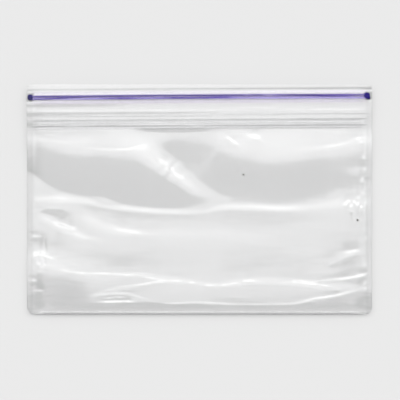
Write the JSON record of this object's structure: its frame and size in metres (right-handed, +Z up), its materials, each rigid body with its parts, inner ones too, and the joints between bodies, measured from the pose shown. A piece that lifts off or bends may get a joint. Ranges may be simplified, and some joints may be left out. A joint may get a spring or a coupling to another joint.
{
  "type": "resealable plastic bag",
  "caption": "Flat clear film bag with side welds, a folded foot, a purple press-to-close zip with crushed ends, a clear ribbed second closure and a two-lip mouth.",
  "frame": {"origin": "on the floor under the middle of the bag as it lies on its back", "axes": "+X along the zip, +Y from the pouch to the zip, +Z up out of the face shown"},
  "size_m": [0.18, 0.12, 0.004],
  "materials": {
    "film": "clear glossy polyethylene film, soft wrinkles",
    "zip": "purple translucent polyethylene profile",
    "ribs": "clear polyethylene profile with fine ribs"
  },
  "bodies": {
    "root": {"film_bag": "film", "zip_strip": "zip", "rib_strip": "ribs"}
  },
  "joints": []
}
